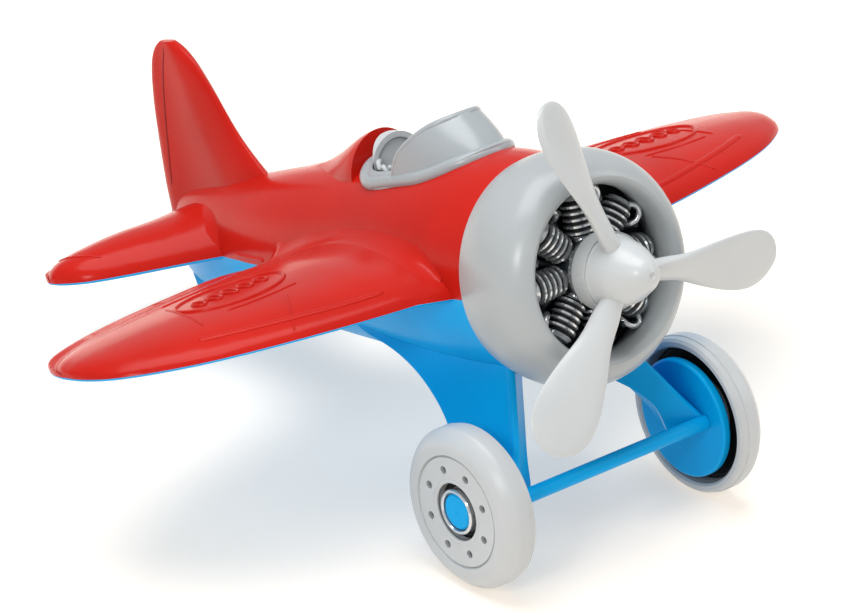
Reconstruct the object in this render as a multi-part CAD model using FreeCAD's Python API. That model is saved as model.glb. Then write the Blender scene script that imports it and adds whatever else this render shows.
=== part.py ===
import FreeCAD, Part
import math
import os

# Toy low-wing aeroplane with a free-spinning propeller and two free-rolling wheels.
# Everything is drawn with the aeroplane flying level: X to its left wing tip at -X and
# its right wing tip at +X, Y from the propeller back to the tail, Z up, and the origin
# on the thrust line in the plane of the propeller blades.  The finished pieces are then
# tipped nose-up on to the wheels and the tail skid, with Z = 0 on the ground.

V = FreeCAD.Vector
X_AXIS = V(1, 0, 0)
Y_AXIS = V(0, 1, 0)
Z_AXIS = V(0, 0, 1)

# ---------------------------------------------------------------- driving dimensions
STANCE_ANGLE = 17.7          # nose-up angle on the ground, degrees
CENTRE_SHIFT = -95.0         # moves the middle of the length to Y = 0
WALL = 2.2                   # wall of the moulded shells

COWL_BACK = 32.2             # rear edge of the cowl
COWL_RADIUS = 29.9
NOSE_FACE = 32.5             # front edge of the fuselage shells
TAIL_END = 201.5

HALF_SPAN = 122.3
ROOT_X = 18.0                # where the wing starts, inside the fuselage
SEAM_Z = -1.3                # shell parting line at the fuselage
SEAM_KINK_X = 27.0
SEAM_RISE_X = 40.0
SEAM_RISE_Z = 0.7
SEAM_TIP_Z = 2.7
TAIL_SEAM_KINK_X = 16.0
TAIL_SEAM_SLOPE = 0.05
TAIL_SEAM_START = 148.0      # the tailplane's own parting plane applies behind this Y

BLADE_TIP_RADIUS = 52.4
BLADE_COUNT = 3
BLADE_START_ANGLE = -17.6    # first blade, degrees from straight up
SPINNER_NOSE = -11.7
SPINNER_BACK = 9.5
SHAFT_RADIUS = 2.0
RUNNING_GAP = 0.06
FREE_GAP = 0.4

CYLINDER_COUNT = 8
CYLINDER_Y = 15.5
FIN_COUNT = 5

WHEEL_Y = 31.8
WHEEL_Z = -54.66
WHEEL_RADIUS = 22.65
WHEEL_FACE = 46.0            # outer face of the wheel, from the middle
WHEEL_BACK = 36.5
AXLE_RADIUS = 4.0
AXLE_HEAD_RADIUS = 5.0
AXLE_TAIL = 35.8             # inner end of the axle pin, inside the guard
DIMPLE_COUNT = 8

COCKPIT_MID = 66.0           # end of the rounded front of the cockpit opening
COCKPIT_REAR = 82.0          # start of the rounded back of the cockpit opening
COCKPIT_HALF = 15.0
COCKPIT_FRONT_LENGTH = 20.0
COCKPIT_BACK_LENGTH = 14.0
COCKPIT_FLOOR = 11.0
RIM_HEIGHT = 1.7

# ---------------------------------------------------------------- small helpers


def spline(points, start=None, end=None):
    curve = Part.BSplineCurve()
    vectors = [V(*p) for p in points]
    if start is None:
        curve.interpolate(Points=vectors)
    else:
        curve.interpolate(Points=vectors, InitialTangent=V(*start), FinalTangent=V(*end))
    return curve.toShape()


def closed_spline(points):
    curve = Part.BSplineCurve()
    curve.interpolate(Points=[V(*p) for p in points], PeriodicFlag=True)
    return Part.Wire([curve.toShape()])


def loft(wires):
    return Part.makeLoft(wires, True, False, False, 5)


def polygon_face(points):
    vectors = [V(*p) for p in points]
    return Part.Face(Part.makePolygon(vectors + [vectors[0]]))


def spin(outline, axis, centre=V(0, 0, 0)):
    """Turn a closed flat outline of edges or points once round an axis."""
    if isinstance(outline[0], tuple):
        face = polygon_face(outline)
    else:
        face = Part.Face(Part.Wire(outline))
    return face.revolve(centre, axis, 360)


def tube(outer, inner, start, end, axis, centre=V(0, 0, 0)):
    base = centre + axis * start
    body = Part.makeCylinder(outer, end - start, base, axis)
    if inner > 0:
        body = body.cut(Part.makeCylinder(inner, end - start, base, axis))
    return body


def mirrored(shape):
    return shape.mirror(V(0, 0, 0), X_AXIS)


def box(x0, x1, y0, y1, z0, z1):
    return Part.makeBox(x1 - x0, y1 - y0, z1 - z0, V(x0, y0, z0))


def fuse_all(shapes):
    return shapes[0].multiFuse(shapes[1:])


def biggest(shape):
    return sorted(shape.Solids, key=lambda one: one.Volume)[-1]


def ellipse_wire(half_x, half_y, centre_y, z):
    points = []
    for k in range(12):
        angle = math.radians(30 * k)
        points.append((half_x * math.sin(angle), centre_y - half_y * math.cos(angle), z))
    return closed_spline(points)


# ---------------------------------------------------------------- fuselage

# Y, half width, height above and depth below the thrust line
FUSELAGE_STATIONS = [
    (NOSE_FACE, 29.2, 29.4, 29.3),
    (52.0, 29.2, 30.8, 29.3),
    (75.0, 27.4, 28.9, 28.2),
    (100.0, 24.3, 25.8, 26.4),
    (125.0, 21.6, 22.9, 24.0),
    (150.0, 18.3, 19.4, 21.2),
    (175.0, 13.0, 15.6, 18.8),
    (192.0, 7.5, 13.0, 17.0),
    (TAIL_END - 0.5, 2.8, 11.0, 13.6),
]


def fuselage_section(y, half, top, depth):
    points = []
    for k in range(16):
        angle = 2 * math.pi * k / 16
        height = top if math.cos(angle) > 0 else depth
        points.append((half * math.sin(angle), y, height * math.cos(angle)))
    return closed_spline(points)


def fuselage(offset=0.0, last=len(FUSELAGE_STATIONS)):
    """Round body; a negative offset gives the hollow inside it."""
    wires = []
    for y, half, top, depth in FUSELAGE_STATIONS[:last]:
        wires.append(fuselage_section(y, half + offset, top + offset, depth + offset))
    return loft(wires)


# ---------------------------------------------------------------- wings and tailplane

# X, leading edge Y, trailing edge Y, crown above the seam, depth below the seam
WING_STATIONS = [
    (ROOT_X, 35.5, 130.0, 15.4, 2.4),
    (26.0, 36.6, 129.4, 12.9, 2.2),
    (36.0, 37.7, 128.4, 10.9, 2.0),
    (42.0, 38.5, 127.7, 10.4, 2.0),
    (55.0, 40.6, 126.0, 9.7, 2.0),
    (75.0, 45.4, 121.2, 8.8, 1.9),
    (92.0, 51.0, 115.8, 7.6, 1.8),
    (104.0, 57.0, 110.4, 6.3, 1.6),
    (112.0, 62.8, 105.6, 5.1, 1.4),
    (118.0, 69.0, 99.6, 3.9, 1.1),
    (121.1, 75.4, 93.4, 2.6, 0.8),
    (HALF_SPAN, 81.4, 87.4, 1.4, 0.5),
]

TAIL_STATIONS = [
    (1.0, 152.0, 208.0, 12.4, 1.6),
    (9.0, 156.0, 207.6, 12.2, 1.6),
    (16.0, 160.0, 207.1, 11.2, 1.6),
    (27.0, 165.8, 206.2, 10.0, 1.6),
    (38.0, 171.0, 204.4, 8.6, 1.5),
    (46.5, 175.6, 201.6, 7.0, 1.3),
    (52.2, 180.2, 197.6, 5.2, 1.0),
    (55.0, 184.8, 193.2, 3.2, 0.7),
    (56.0, 187.6, 190.6, 1.6, 0.4),
]

# share of the chord, share of the crown height
CROWN_CURVE = [(0.02, 0.26), (0.06, 0.47), (0.13, 0.71), (0.26, 0.93),
               (0.42, 1.0), (0.62, 0.86), (0.8, 0.55), (0.93, 0.27)]
# share of the chord, share of the depth below the seam
BELLY_CURVE = [(0.985, 0.3), (0.93, 0.7), (0.8, 0.95), (0.6, 1.0), (0.4, 1.0),
               (0.2, 0.95), (0.07, 0.75), (0.015, 0.4)]
TRAILING_THICKNESS = 1.5


def wing_seam(x):
    x = abs(x)
    if x < SEAM_KINK_X:
        return SEAM_Z
    if x < SEAM_RISE_X:
        share = (x - SEAM_KINK_X) / (SEAM_RISE_X - SEAM_KINK_X)
        return SEAM_Z + share * (SEAM_RISE_Z - SEAM_Z)
    share = (x - SEAM_RISE_X) / (HALF_SPAN - SEAM_RISE_X)
    return SEAM_RISE_Z + share * (SEAM_TIP_Z - SEAM_RISE_Z)


def tail_seam(x):
    return SEAM_Z + TAIL_SEAM_SLOPE * max(abs(x) - TAIL_SEAM_KINK_X, 0.0)


def aerofoil(station, seam_of):
    x, front, back, crown, depth = station
    seam = seam_of(x)
    edge = min(TRAILING_THICKNESS, 0.55 * crown)
    chord = back - front
    points = [(x, front, seam)]
    for along, up in CROWN_CURVE:
        points.append((x, front + along * chord, seam + up * crown))
    points.append((x, back - 0.012 * chord, seam + edge))
    points.append((x, back, seam + 0.2 * edge))
    for along, down in BELLY_CURVE:
        points.append((x, front + along * chord, seam - down * depth))
    return closed_spline(points)


def plane_surface(stations, seam_of):
    """Right-hand wing or tailplane, lofted through its aerofoils."""
    return loft([aerofoil(station, seam_of) for station in stations])


# ---------------------------------------------------------------- fin and headrest hump

# Z, front Y, back Y, half thickness
FIN_STATIONS = [
    (6.0, 144.0, 203.4, 5.0),
    (20.0, 154.4, 203.6, 4.0),
    (31.0, 164.2, 202.8, 3.2),
    (40.0, 169.8, 201.6, 2.8),
    (48.0, 175.2, 199.6, 2.5),
    (53.6, 180.6, 196.8, 2.1),
    (56.8, 186.4, 192.6, 1.3),
]

# Y, half width, top
HUMP_STATIONS = [
    (96.6, 12.0, 34.8),
    (100.5, 11.6, 33.6),
    (107.0, 10.2, 30.6),
    (114.0, 8.2, 27.4),
    (121.0, 5.8, 24.8),
    (130.0, 3.0, 22.2),
]
HUMP_BASE = 8.0


def fin():
    wires = []
    for z, front, back, half in FIN_STATIONS:
        chord = back - front
        points = [(0, front, z),
                  (0.8 * half, front + 0.12 * chord, z),
                  (half, front + 0.42 * chord, z),
                  (0.75 * half, front + 0.82 * chord, z),
                  (0.45 * half, back - 0.02 * chord, z),
                  (0, back, z),
                  (-0.45 * half, back - 0.02 * chord, z),
                  (-0.75 * half, front + 0.82 * chord, z),
                  (-half, front + 0.42 * chord, z),
                  (-0.8 * half, front + 0.12 * chord, z)]
        wires.append(closed_spline(points))
    return loft(wires)


def hump():
    wires = []
    for y, half, top in HUMP_STATIONS:
        centre = (top + HUMP_BASE) / 2
        rise = (top - HUMP_BASE) / 2
        points = []
        for k in range(12):
            angle = math.radians(30 * k)
            points.append((half * math.sin(angle), y, centre + rise * math.cos(angle)))
        wires.append(closed_spline(points))
    return loft(wires)


# ---------------------------------------------------------------- the two body shells

SCREW_PLACES = [(0.0, 112.0), (0.0, 142.0)]
WING_SCREW_X = 34.0           # in the solid root of the wing
WING_SCREW_Y = 84.0
POST_RADIUS = 4.0
SCREW_HOLE = 1.5
HEAD_RADIUS = 2.9
HEAD_DEPTH = 2.0


def screw_columns():
    """Where the shell screws stand: X, Y, underside Z and seam Z."""
    columns = []
    for x, y in SCREW_PLACES:
        columns.append((x, y, -fuselage_reach(y, 3), SEAM_Z))
    for side in (-1, 1):
        seam = wing_seam(WING_SCREW_X)
        columns.append((side * WING_SCREW_X, WING_SCREW_Y, seam - 2.0, seam))
    return columns


def fuselage_reach(y, column):
    """Height above or depth below the thrust line at a given Y."""
    for first, second in zip(FUSELAGE_STATIONS, FUSELAGE_STATIONS[1:]):
        if first[0] <= y <= second[0]:
            share = (y - first[0]) / (second[0] - first[0])
            return first[column] + share * (second[column] - first[column])
    return FUSELAGE_STATIONS[-1][column]


def above_seam():
    """Everything over the parting surface: one block for the wings, one for the tailplane."""
    top = 90.0
    half = 140.0
    tip = SEAM_TIP_Z + (half - HALF_SPAN) * 0.024
    front = [(-half, 0, tip), (-SEAM_RISE_X, 0, SEAM_RISE_Z),
             (-SEAM_KINK_X, 0, SEAM_Z), (SEAM_KINK_X, 0, SEAM_Z),
             (SEAM_RISE_X, 0, SEAM_RISE_Z), (half, 0, tip),
             (half, 0, top), (-half, 0, top)]
    kink = TAIL_SEAM_KINK_X
    start = TAIL_SEAM_START
    rear = [(-half, start, tail_seam(half)), (-kink, start, SEAM_Z), (kink, start, SEAM_Z),
            (half, start, tail_seam(half)), (half, start, top), (-half, start, top)]
    block = polygon_face(front).extrude(V(0, start, 0))
    return block.fuse(polygon_face(rear).extrude(V(0, 240 - start, 0)))


def cockpit_outline(inset, z):
    half = COCKPIT_HALF - inset
    front = COCKPIT_FRONT_LENGTH - inset
    back = COCKPIT_BACK_LENGTH - inset
    points = []
    for k in range(-3, 4):
        angle = math.radians(30 * k)
        points.append((half * math.sin(angle), COCKPIT_MID - front * math.cos(angle), z))
    for k in range(-3, 4):
        angle = math.radians(30 * k)
        points.append((-half * math.sin(angle), COCKPIT_REAR + back * math.cos(angle), z))
    return closed_spline(points)


def cockpit_prism(inset, bottom, top):
    return Part.Face(cockpit_outline(inset, bottom)).extrude(V(0, 0, top - bottom))


def whole_body():
    wing = plane_surface(WING_STATIONS, wing_seam)
    tail = plane_surface(TAIL_STATIONS, tail_seam)
    return fuse_all([fuselage(), wing, mirrored(wing), tail, mirrored(tail), fin(), hump()])


def body_cavity():
    inside = fuselage(-WALL, 6)
    mouth = tube(26.0, 0, NOSE_FACE - 2, NOSE_FACE + 3.2, Y_AXIS)
    return [inside, mouth]


def shell_posts(above):
    """Round posts that carry the two screws in the fuselage."""
    posts = []
    for x, y in SCREW_PLACES:
        if above:
            top = fuselage_reach(y, 2) - WALL / 2
            posts.append(tube(POST_RADIUS, 0, SEAM_Z, top, Z_AXIS, V(x, y, 0)))
        else:
            base = WALL / 2 - fuselage_reach(y, 3)
            posts.append(tube(POST_RADIUS, 0, base, SEAM_Z, Z_AXIS, V(x, y, 0)))
    return posts


def screw_holes():
    holes = []
    for x, y, underside, seam in screw_columns():
        centre = V(x, y, 0)
        holes.append(tube(SCREW_HOLE, 0, underside - 3, seam + 5.2, Z_AXIS, centre))
        head_top = screw_head_base(underside, seam)
        holes.append(tube(HEAD_RADIUS + 0.2, 0, underside - 3, head_top, Z_AXIS, centre))
    return holes


def screw_head_base(underside, seam):
    """Upper face of a sunk screw head."""
    if seam - underside > 6:
        return seam - 5.0
    return underside + HEAD_DEPTH - 0.9


def body_shells():
    outside = whole_body()
    walls = outside.cut(body_cavity())
    above = above_seam()
    upper = walls.common(above)
    lower = walls.cut(above)
    upper = fuse_all([upper] + shell_posts(True))
    lower = fuse_all([lower] + shell_posts(False))
    holes = screw_holes()
    upper = upper.cut(holes[0].multiFuse(holes[1:]))
    lower = lower.cut(holes[0].multiFuse(holes[1:] + gear_sockets()))
    upper = upper.cut(cockpit_prism(1.0, COCKPIT_FLOOR - 4, 60))
    return biggest(upper), biggest(lower)


def shell_screws():
    screws = []
    for x, y, underside, seam in screw_columns():
        base = screw_head_base(underside, seam)
        centre = V(x, y, 0)
        head = tube(HEAD_RADIUS, 0, base - 1.6, base - 0.05, Z_AXIS, centre)
        shank = tube(SCREW_HOLE - 0.05, 0, base - 1.0, seam + 5.0, Z_AXIS, centre)
        slot = box(x - 2.0, x + 2.0, y - 0.35, y + 0.35, base - 1.7, base - 0.9)
        cross = box(x - 0.35, x + 0.35, y - 2.0, y + 2.0, base - 1.7, base - 0.9)
        screws.append(head.fuse(shank).cut(slot).cut(cross))
    return Part.makeCompound(screws)


# ---------------------------------------------------------------- cowl and engine


def cowl():
    outer = spline([(COWL_RADIUS, COWL_BACK, 0), (31.6, 26.0, 0), (32.2, 19.5, 0), (31.1, 13.0, 0),
                    (28.8, 9.2, 0), (26.6, 7.4, 0), (25.2, 6.9, 0)])
    lip = spline([(25.2, 6.9, 0), (23.9, 7.5, 0), (23.0, 9.2, 0), (22.7, 12.0, 0),
                  (23.6, 16.5, 0), (25.6, 21.5, 0), (27.2, 26.0, 0)])
    back = Part.makeLine(V(27.2, 26.0, 0), V(27.2, COWL_BACK, 0))
    end = Part.makeLine(V(27.2, COWL_BACK, 0), V(COWL_RADIUS, COWL_BACK, 0))
    return spin([outer, lip, back, end], Y_AXIS)


BULKHEAD_FRONT = 28.5
BULKHEAD_BACK = 34.6
BACKPLATE_FRONT = 20.4
BACKPLATE_BACK = 22.6


def nose_bulkhead():
    plate = tube(26.9, 3.6, BULKHEAD_FRONT, BULKHEAD_FRONT + 2.5, Y_AXIS)
    rim = tube(26.9, 24.8, BULKHEAD_FRONT, BULKHEAD_BACK, Y_AXIS)
    boss = tube(6.0, 3.6, BULKHEAD_FRONT, BULKHEAD_BACK, Y_AXIS)
    pillars = []
    for centre in engine_screw_centres():
        pillars.append(tube(3.2, 1.2, BACKPLATE_BACK, BULKHEAD_FRONT + 0.5, Y_AXIS, centre))
    body = fuse_all([plate, rim, boss] + pillars)
    for centre in engine_screw_centres():
        body = body.cut(tube(1.2, 0, BACKPLATE_BACK, BULKHEAD_FRONT + 3, Y_AXIS, centre))
    return body


def engine_screw_centres():
    centres = []
    for k in range(3):
        angle = math.radians(22.5 + 135 * k)
        centres.append(V(16.0 * math.sin(angle), 0, 16.0 * math.cos(angle)))
    return centres


def engine_backplate():
    plate = tube(24.8, 8.2, BACKPLATE_FRONT, BACKPLATE_BACK, Y_AXIS)
    for centre in engine_screw_centres():
        plate = plate.cut(tube(1.3, 0, BACKPLATE_FRONT - 1, BACKPLATE_BACK + 1, Y_AXIS, centre))
    return plate


def engine_screws():
    screws = []
    for centre in engine_screw_centres():
        head = tube(2.4, 0, BACKPLATE_FRONT - 0.8, BACKPLATE_FRONT - 0.03, Y_AXIS, centre)
        shank = tube(1.1, 0, BACKPLATE_FRONT - 0.5, BULKHEAD_FRONT + 2.2, Y_AXIS, centre)
        slot = box(centre.x - 1.7, centre.x + 1.7, BACKPLATE_FRONT - 0.9,
                   BACKPLATE_FRONT - 0.4, centre.z - 0.3, centre.z + 0.3)
        screws.append(head.fuse(shank).cut(slot))
    return Part.makeCompound(screws)


CRANKCASE_RADIUS = 8.6


def crankcase():
    hole = SHAFT_RADIUS + FREE_GAP
    outline = [(hole, 12.2, 0), (7.2, 12.2, 0), (7.9, 12.6, 0), (7.9, 13.2, 0),
               (CRANKCASE_RADIUS, 13.6, 0), (CRANKCASE_RADIUS, BACKPLATE_FRONT - 0.1, 0),
               (8.1, BACKPLATE_FRONT - 0.1, 0), (8.1, BACKPLATE_BACK, 0), (hole, BACKPLATE_BACK, 0)]
    body = spin(outline, Y_AXIS)
    for k in range(CYLINDER_COUNT):
        base = Part.makeCylinder(2.45, 4.0, V(0, CYLINDER_Y, 6.4), Z_AXIS)
        base.rotate(V(0, 0, 0), Y_AXIS, 360.0 * k / CYLINDER_COUNT)
        body = body.cut(base)
    return body


def crankcase_ring():
    """Bright ring on the nose of the crankcase."""
    outline = [(7.92, 11.4, 0), (8.7, 11.6, 0), (8.9, 12.2, 0), (8.7, 12.75, 0), (7.92, 13.0, 0)]
    return spin(outline, Y_AXIS)


def one_cylinder():
    """Finned barrel standing up along Z on the crankcase."""
    outline = [(0, 0, 6.6), (2.4, 0, 6.6), (2.4, 0, 9.0), (3.1, 0, 9.4)]
    pitch = 1.85
    for k in range(FIN_COUNT):
        base = 10.2 + pitch * k
        reach = 4.1 + 0.12 * k
        outline.append((3.3, 0, base))
        outline.append((reach, 0, base + 0.15))
        outline.append((reach, 0, base + 0.75))
        outline.append((3.3, 0, base + 0.95))
    top = 10.2 + pitch * FIN_COUNT
    outline.append((3.3, 0, top))
    outline.append((4.2, 0, top + 0.3))
    outline.append((3.4, 0, top + 1.4))
    outline.append((0, 0, top + 1.8))
    barrel = spin(outline, Z_AXIS)
    barrel.translate(V(0, CYLINDER_Y, 0))
    return barrel


def round_the_engine(piece, offset=0.0):
    copies = []
    for k in range(CYLINDER_COUNT):
        copy = piece.copy()
        copy.rotate(V(0, 0, 0), Y_AXIS, 360.0 * k / CYLINDER_COUNT + offset)
        copies.append(copy)
    return Part.makeCompound(copies)


def one_pushrod():
    """Bent tube that rises between two cylinders and hooks over to the head."""
    path = Part.Wire([Part.makeLine(V(0, 18.3, 8.9), V(0, 18.3, 15.0)),
                      Part.Arc(V(0, 18.3, 15.0), V(0, 17.7, 17.2), V(0, 16.0, 18.4)).toShape(),
                      Part.makeLine(V(0, 16.0, 18.4), V(0, 13.6, 19.0))])
    section = Part.Wire(Part.makeCircle(0.9, V(0, 18.3, 8.9), Z_AXIS))
    tube_body = path.makePipeShell([section], True, True)
    return tube_body


# ---------------------------------------------------------------- propeller

# radius, chord, thickness, blade angle in degrees
BLADE_STATIONS = [
    (5.0, 7.2, 5.6, 44.0),
    (12.0, 7.2, 4.8, 40.0),
    (19.0, 8.6, 3.9, 35.0),
    (27.0, 12.6, 3.3, 30.0),
    (35.0, 16.4, 2.9, 26.5),
    (41.5, 18.0, 2.6, 24.0),
    (46.5, 16.6, 2.3, 22.5),
    (50.0, 12.2, 1.9, 22.0),
    (51.8, 6.8, 1.5, 22.0),
    (BLADE_TIP_RADIUS, 2.2, 1.0, 22.0),
]


def blade():
    wires = []
    for radius, chord, thick, twist in BLADE_STATIONS:
        points = []
        turn = math.radians(twist)
        for k in range(12):
            angle = math.radians(30 * k)
            along = chord / 2 * math.cos(angle)
            across = thick / 2 * math.sin(angle)
            x = along * math.cos(turn) - across * math.sin(turn)
            y = along * math.sin(turn) + across * math.cos(turn)
            points.append((x, y, radius))
        wires.append(closed_spline(points))
    return loft(wires)


def propeller():
    side = spline([(0, SPINNER_NOSE, 0), (3.3, SPINNER_NOSE + 1.0, 0), (6.1, -6.8, 0),
                   (8.6, -1.6, 0), (10.2, 4.0, 0), (10.6, SPINNER_BACK - 0.6, 0)],
                  (1, 0, 0), (0, 1, 0))
    bevel = Part.makeLine(V(10.6, SPINNER_BACK - 0.6, 0), V(10.0, SPINNER_BACK, 0))
    back = Part.makeLine(V(10.0, SPINNER_BACK, 0), V(0, SPINNER_BACK, 0))
    middle = Part.makeLine(V(0, SPINNER_BACK, 0), V(0, SPINNER_NOSE, 0))
    hub = spin([side, bevel, back, middle], Y_AXIS)
    blades = []
    for k in range(BLADE_COUNT):
        one = blade()
        one.rotate(V(0, 0, 0), Y_AXIS, BLADE_START_ANGLE + 360.0 * k / BLADE_COUNT)
        blades.append(one)
    body = fuse_all([hub] + blades)
    hollow = tube(8.0, 4.2, 3.0, SPINNER_BACK, Y_AXIS)
    bore = tube(SHAFT_RADIUS + 0.03, 0, -4.0, SPINNER_BACK, Y_AXIS)
    dimple = Part.makeSphere(1.1, V(0, SPINNER_NOSE - 0.5, 0))
    return body.cut(hollow).cut(bore).cut(dimple)


SHAFT_START = -3.9
SHAFT_END = 41.0
BEARING_START = 27.2
BEARING_END = 36.0


def propeller_shaft():
    body = tube(SHAFT_RADIUS, 0, SHAFT_START, SHAFT_END, Y_AXIS)
    groove = tube(SHAFT_RADIUS + 1, SHAFT_RADIUS - 0.4, 38.2, 39.4, Y_AXIS)
    return body.cut(groove)


def shaft_bearing():
    sleeve = tube(3.55, SHAFT_RADIUS + RUNNING_GAP, BEARING_START, BEARING_END, Y_AXIS)
    collar = tube(5.0, SHAFT_RADIUS + RUNNING_GAP, BEARING_START - 1.0, BEARING_START, Y_AXIS)
    return sleeve.fuse(collar).removeSplitter()


def thrust_washer():
    return tube(4.6, SHAFT_RADIUS + FREE_GAP, 36.4, 37.2, Y_AXIS)


def retaining_clip():
    ring = tube(4.2, SHAFT_RADIUS - 0.35, 38.3, 39.3, Y_AXIS)
    gap = box(-1.1, 1.1, 38.0, 39.6, 1.0, 5.0)
    return ring.cut(gap)


# ---------------------------------------------------------------- undercarriage

LEG_WALL = 2.4
GUARD_RADIUS = 17.0
GUARD_FACE = 34.6
GUARD_BACK = 37.4
BOSS_END = 39.2
BAR_Y = 21.8
BAR_Z = -54.6
BAR_RADIUS = 2.1
BAR_REACH = 34.5

# Height, then X and Y of the front edge, the inner edge and the swept rear edge
LEG_STATIONS = [
    (-12.0, (16.0, 33.0), (1.0, 58.0), (21.0, 96.0)),
    (-19.0, (17.2, 32.4), (1.6, 51.0), (21.7, 84.0)),
    (-24.0, (18.6, 31.4), (3.0, 47.0), (22.8, 71.6)),
    (-30.0, (21.2, 29.2), (7.8, 42.6), (25.0, 61.4)),
    (-37.0, (25.0, 26.0), (15.1, 34.9), (28.4, 52.2)),
    (-44.0, (28.7, 23.2), (21.2, 28.7), (31.6, 46.8)),
    (-50.0, (32.5, 21.4), (23.6, 26.5), (34.4, 43.6)),
    (-55.2, (36.0, 20.4), (24.8, 26.0), (36.0, 42.0)),
]
LEG_EDGE_ROUND = 2.6


def leg_section(z, front, inner, rear):
    """Bent strip: a slanted front wall and an outer wall that meet at a rounded edge."""
    wall = LEG_WALL
    edge = V(front[0], front[1], z)
    tail = V(rear[0], rear[1], z)
    inside = V(inner[0], inner[1], z)
    towards_tail = edge + (tail - edge).normalize() * LEG_EDGE_ROUND
    towards_inside = edge + (inside - edge).normalize() * LEG_EDGE_ROUND
    middle = (edge * 2 + towards_tail + towards_inside) / 4
    bend = Part.Arc(towards_inside, middle, towards_tail).toShape()
    corners = [towards_tail, tail, tail - V(wall, 0, 0),
               edge + V(-wall, 2.1 * wall, 0), inside + V(0.5 * wall, wall, 0), inside,
               towards_inside]
    edges = [Part.makeLine(a, b) for a, b in zip(corners, corners[1:])]
    return Part.Wire([bend] + edges)


def leg_body():
    return loft([leg_section(*station) for station in LEG_STATIONS])


# X, Y and Z limits of the two tongues on the right-hand leg
TONGUES = [(16.8, 18.6, 42.0, 50.0, -27.0, -16.0), (18.2, 19.9, 60.0, 68.0, -23.0, -13.5)]
TONGUE_GAP = 0.1


def gear_sockets():
    """Slots in the belly that take the tongues of the legs."""
    slots = []
    for x0, x1, y0, y1, z0, z1 in TONGUES:
        slot = box(x0 - TONGUE_GAP, x1 + TONGUE_GAP, y0 - TONGUE_GAP, y1 + TONGUE_GAP, z0, z1)
        slots.append(slot)
        slots.append(mirrored(slot))
    return slots


def leg(side, belly):
    centre = V(0, WHEEL_Y, WHEEL_Z)
    body = biggest(leg_body().cut(belly))
    guard = tube(GUARD_RADIUS, 0, GUARD_FACE, GUARD_BACK, X_AXIS, centre)
    guard = guard.makeFillet(0.8, [edge for edge in guard.Edges if edge.Closed])
    boss = tube(7.2, 0, GUARD_BACK - 0.5, BOSS_END, X_AXIS, centre)
    tongues = [box(*limits) for limits in TONGUES]
    body = fuse_all([body, guard, boss] + tongues)
    body = body.cut(tube(AXLE_RADIUS + 0.03, 0, AXLE_TAIL - 0.2, 60, X_AXIS, centre))
    body = body.cut(tube(BAR_RADIUS + 0.05, 0, 0, BAR_REACH, X_AXIS, V(0, BAR_Y, BAR_Z)))
    if side < 0:
        return mirrored(biggest(body))
    return biggest(body)


def spreader_bar():
    return tube(BAR_RADIUS, 0, 0.1 - BAR_REACH, BAR_REACH - 0.1, X_AXIS, V(0, BAR_Y, BAR_Z))


# ---------------------------------------------------------------- wheels

WHEEL_CENTRE = V(0, WHEEL_Y, WHEEL_Z)
DIMPLE_CIRCLE = 11.8
HUB_RADIUS = 6.3
RECESS_RADIUS = 8.13
GROOVE_RADIUS = 15.6


def wheel():
    """Right-hand wheel: outer face towards +X, open at the back."""
    face = WHEEL_FACE
    back = WHEEL_BACK
    bore = AXLE_RADIUS + RUNNING_GAP
    edges = []

    def line(*points):
        for first, second in zip(points, points[1:]):
            edges.append(Part.makeLine(V(first[0], 0, first[1]), V(second[0], 0, second[1])))

    line((39.6, bore), (43.9, bore), (43.9, HUB_RADIUS), (43.0, HUB_RADIUS),
         (43.0, RECESS_RADIUS), (face - 0.5, RECESS_RADIUS), (face - 0.2, RECESS_RADIUS + 0.4),
         (face - 0.2, GROOVE_RADIUS - 0.3), (face - 0.8, GROOVE_RADIUS),
         (face, GROOVE_RADIUS + 0.4), (face, 17.6))
    shoulder = spline([(face, 0, 17.6), (face - 0.7, 0, 20.0), (face - 2.6, 0, 21.9),
                       (face - 4.8, 0, WHEEL_RADIUS)], (0, 0, 1), (-1, 0, 0))
    edges.append(shoulder)
    line((face - 4.8, WHEEL_RADIUS), (39.0, WHEEL_RADIUS), (38.8, WHEEL_RADIUS - 0.3),
         (37.2, WHEEL_RADIUS - 0.5), (back, WHEEL_RADIUS - 1.3), (back, 20.2),
         (back + 0.6, 19.6), (42.2, 19.2), (43.2, 18.2), (43.2, 10.0), (42.2, 8.2),
         (39.6, 7.6), (39.6, bore))
    body = Part.Face(Part.Wire(edges)).revolve(V(0, 0, 0), X_AXIS, 360)
    for k in range(DIMPLE_COUNT):
        angle = math.radians(360.0 * k / DIMPLE_COUNT + 10)
        centre = V(0, DIMPLE_CIRCLE * math.sin(angle), DIMPLE_CIRCLE * math.cos(angle))
        body = body.cut(tube(1.15, 0, face - 1.5, face + 1, X_AXIS, centre))
    body.translate(WHEEL_CENTRE)
    return body


def hub_cap():
    """Ring that closes the hub round the axle head and turns with the wheel."""
    outline = [(44.0, 0, 5.35), (WHEEL_FACE - 0.2, 0, 5.35), (WHEEL_FACE + 0.1, 0, 5.55),
               (WHEEL_FACE + 0.1, 0, 6.0), (WHEEL_FACE - 0.2, 0, HUB_RADIUS), (44.0, 0, HUB_RADIUS)]
    ring = spin(outline, X_AXIS)
    ring.translate(WHEEL_CENTRE)
    return ring


def axle():
    """Pin with a flat round head, pressed into the boss on the leg."""
    outline = [(AXLE_TAIL, 0, 0), (AXLE_TAIL, 0, AXLE_RADIUS - 0.4),
               (AXLE_TAIL + 0.4, 0, AXLE_RADIUS),
               (44.15, 0, AXLE_RADIUS), (44.15, 0, AXLE_HEAD_RADIUS),
               (WHEEL_FACE - 0.6, 0, AXLE_HEAD_RADIUS), (WHEEL_FACE - 0.2, 0, 4.5),
               (WHEEL_FACE - 0.2, 0, 0)]
    pin = spin(outline, X_AXIS)
    pin.translate(WHEEL_CENTRE)
    gate = Part.makeSphere(0.6, WHEEL_CENTRE + V(WHEEL_FACE + 0.15, 0, 0))
    return pin.cut(gate)


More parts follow.
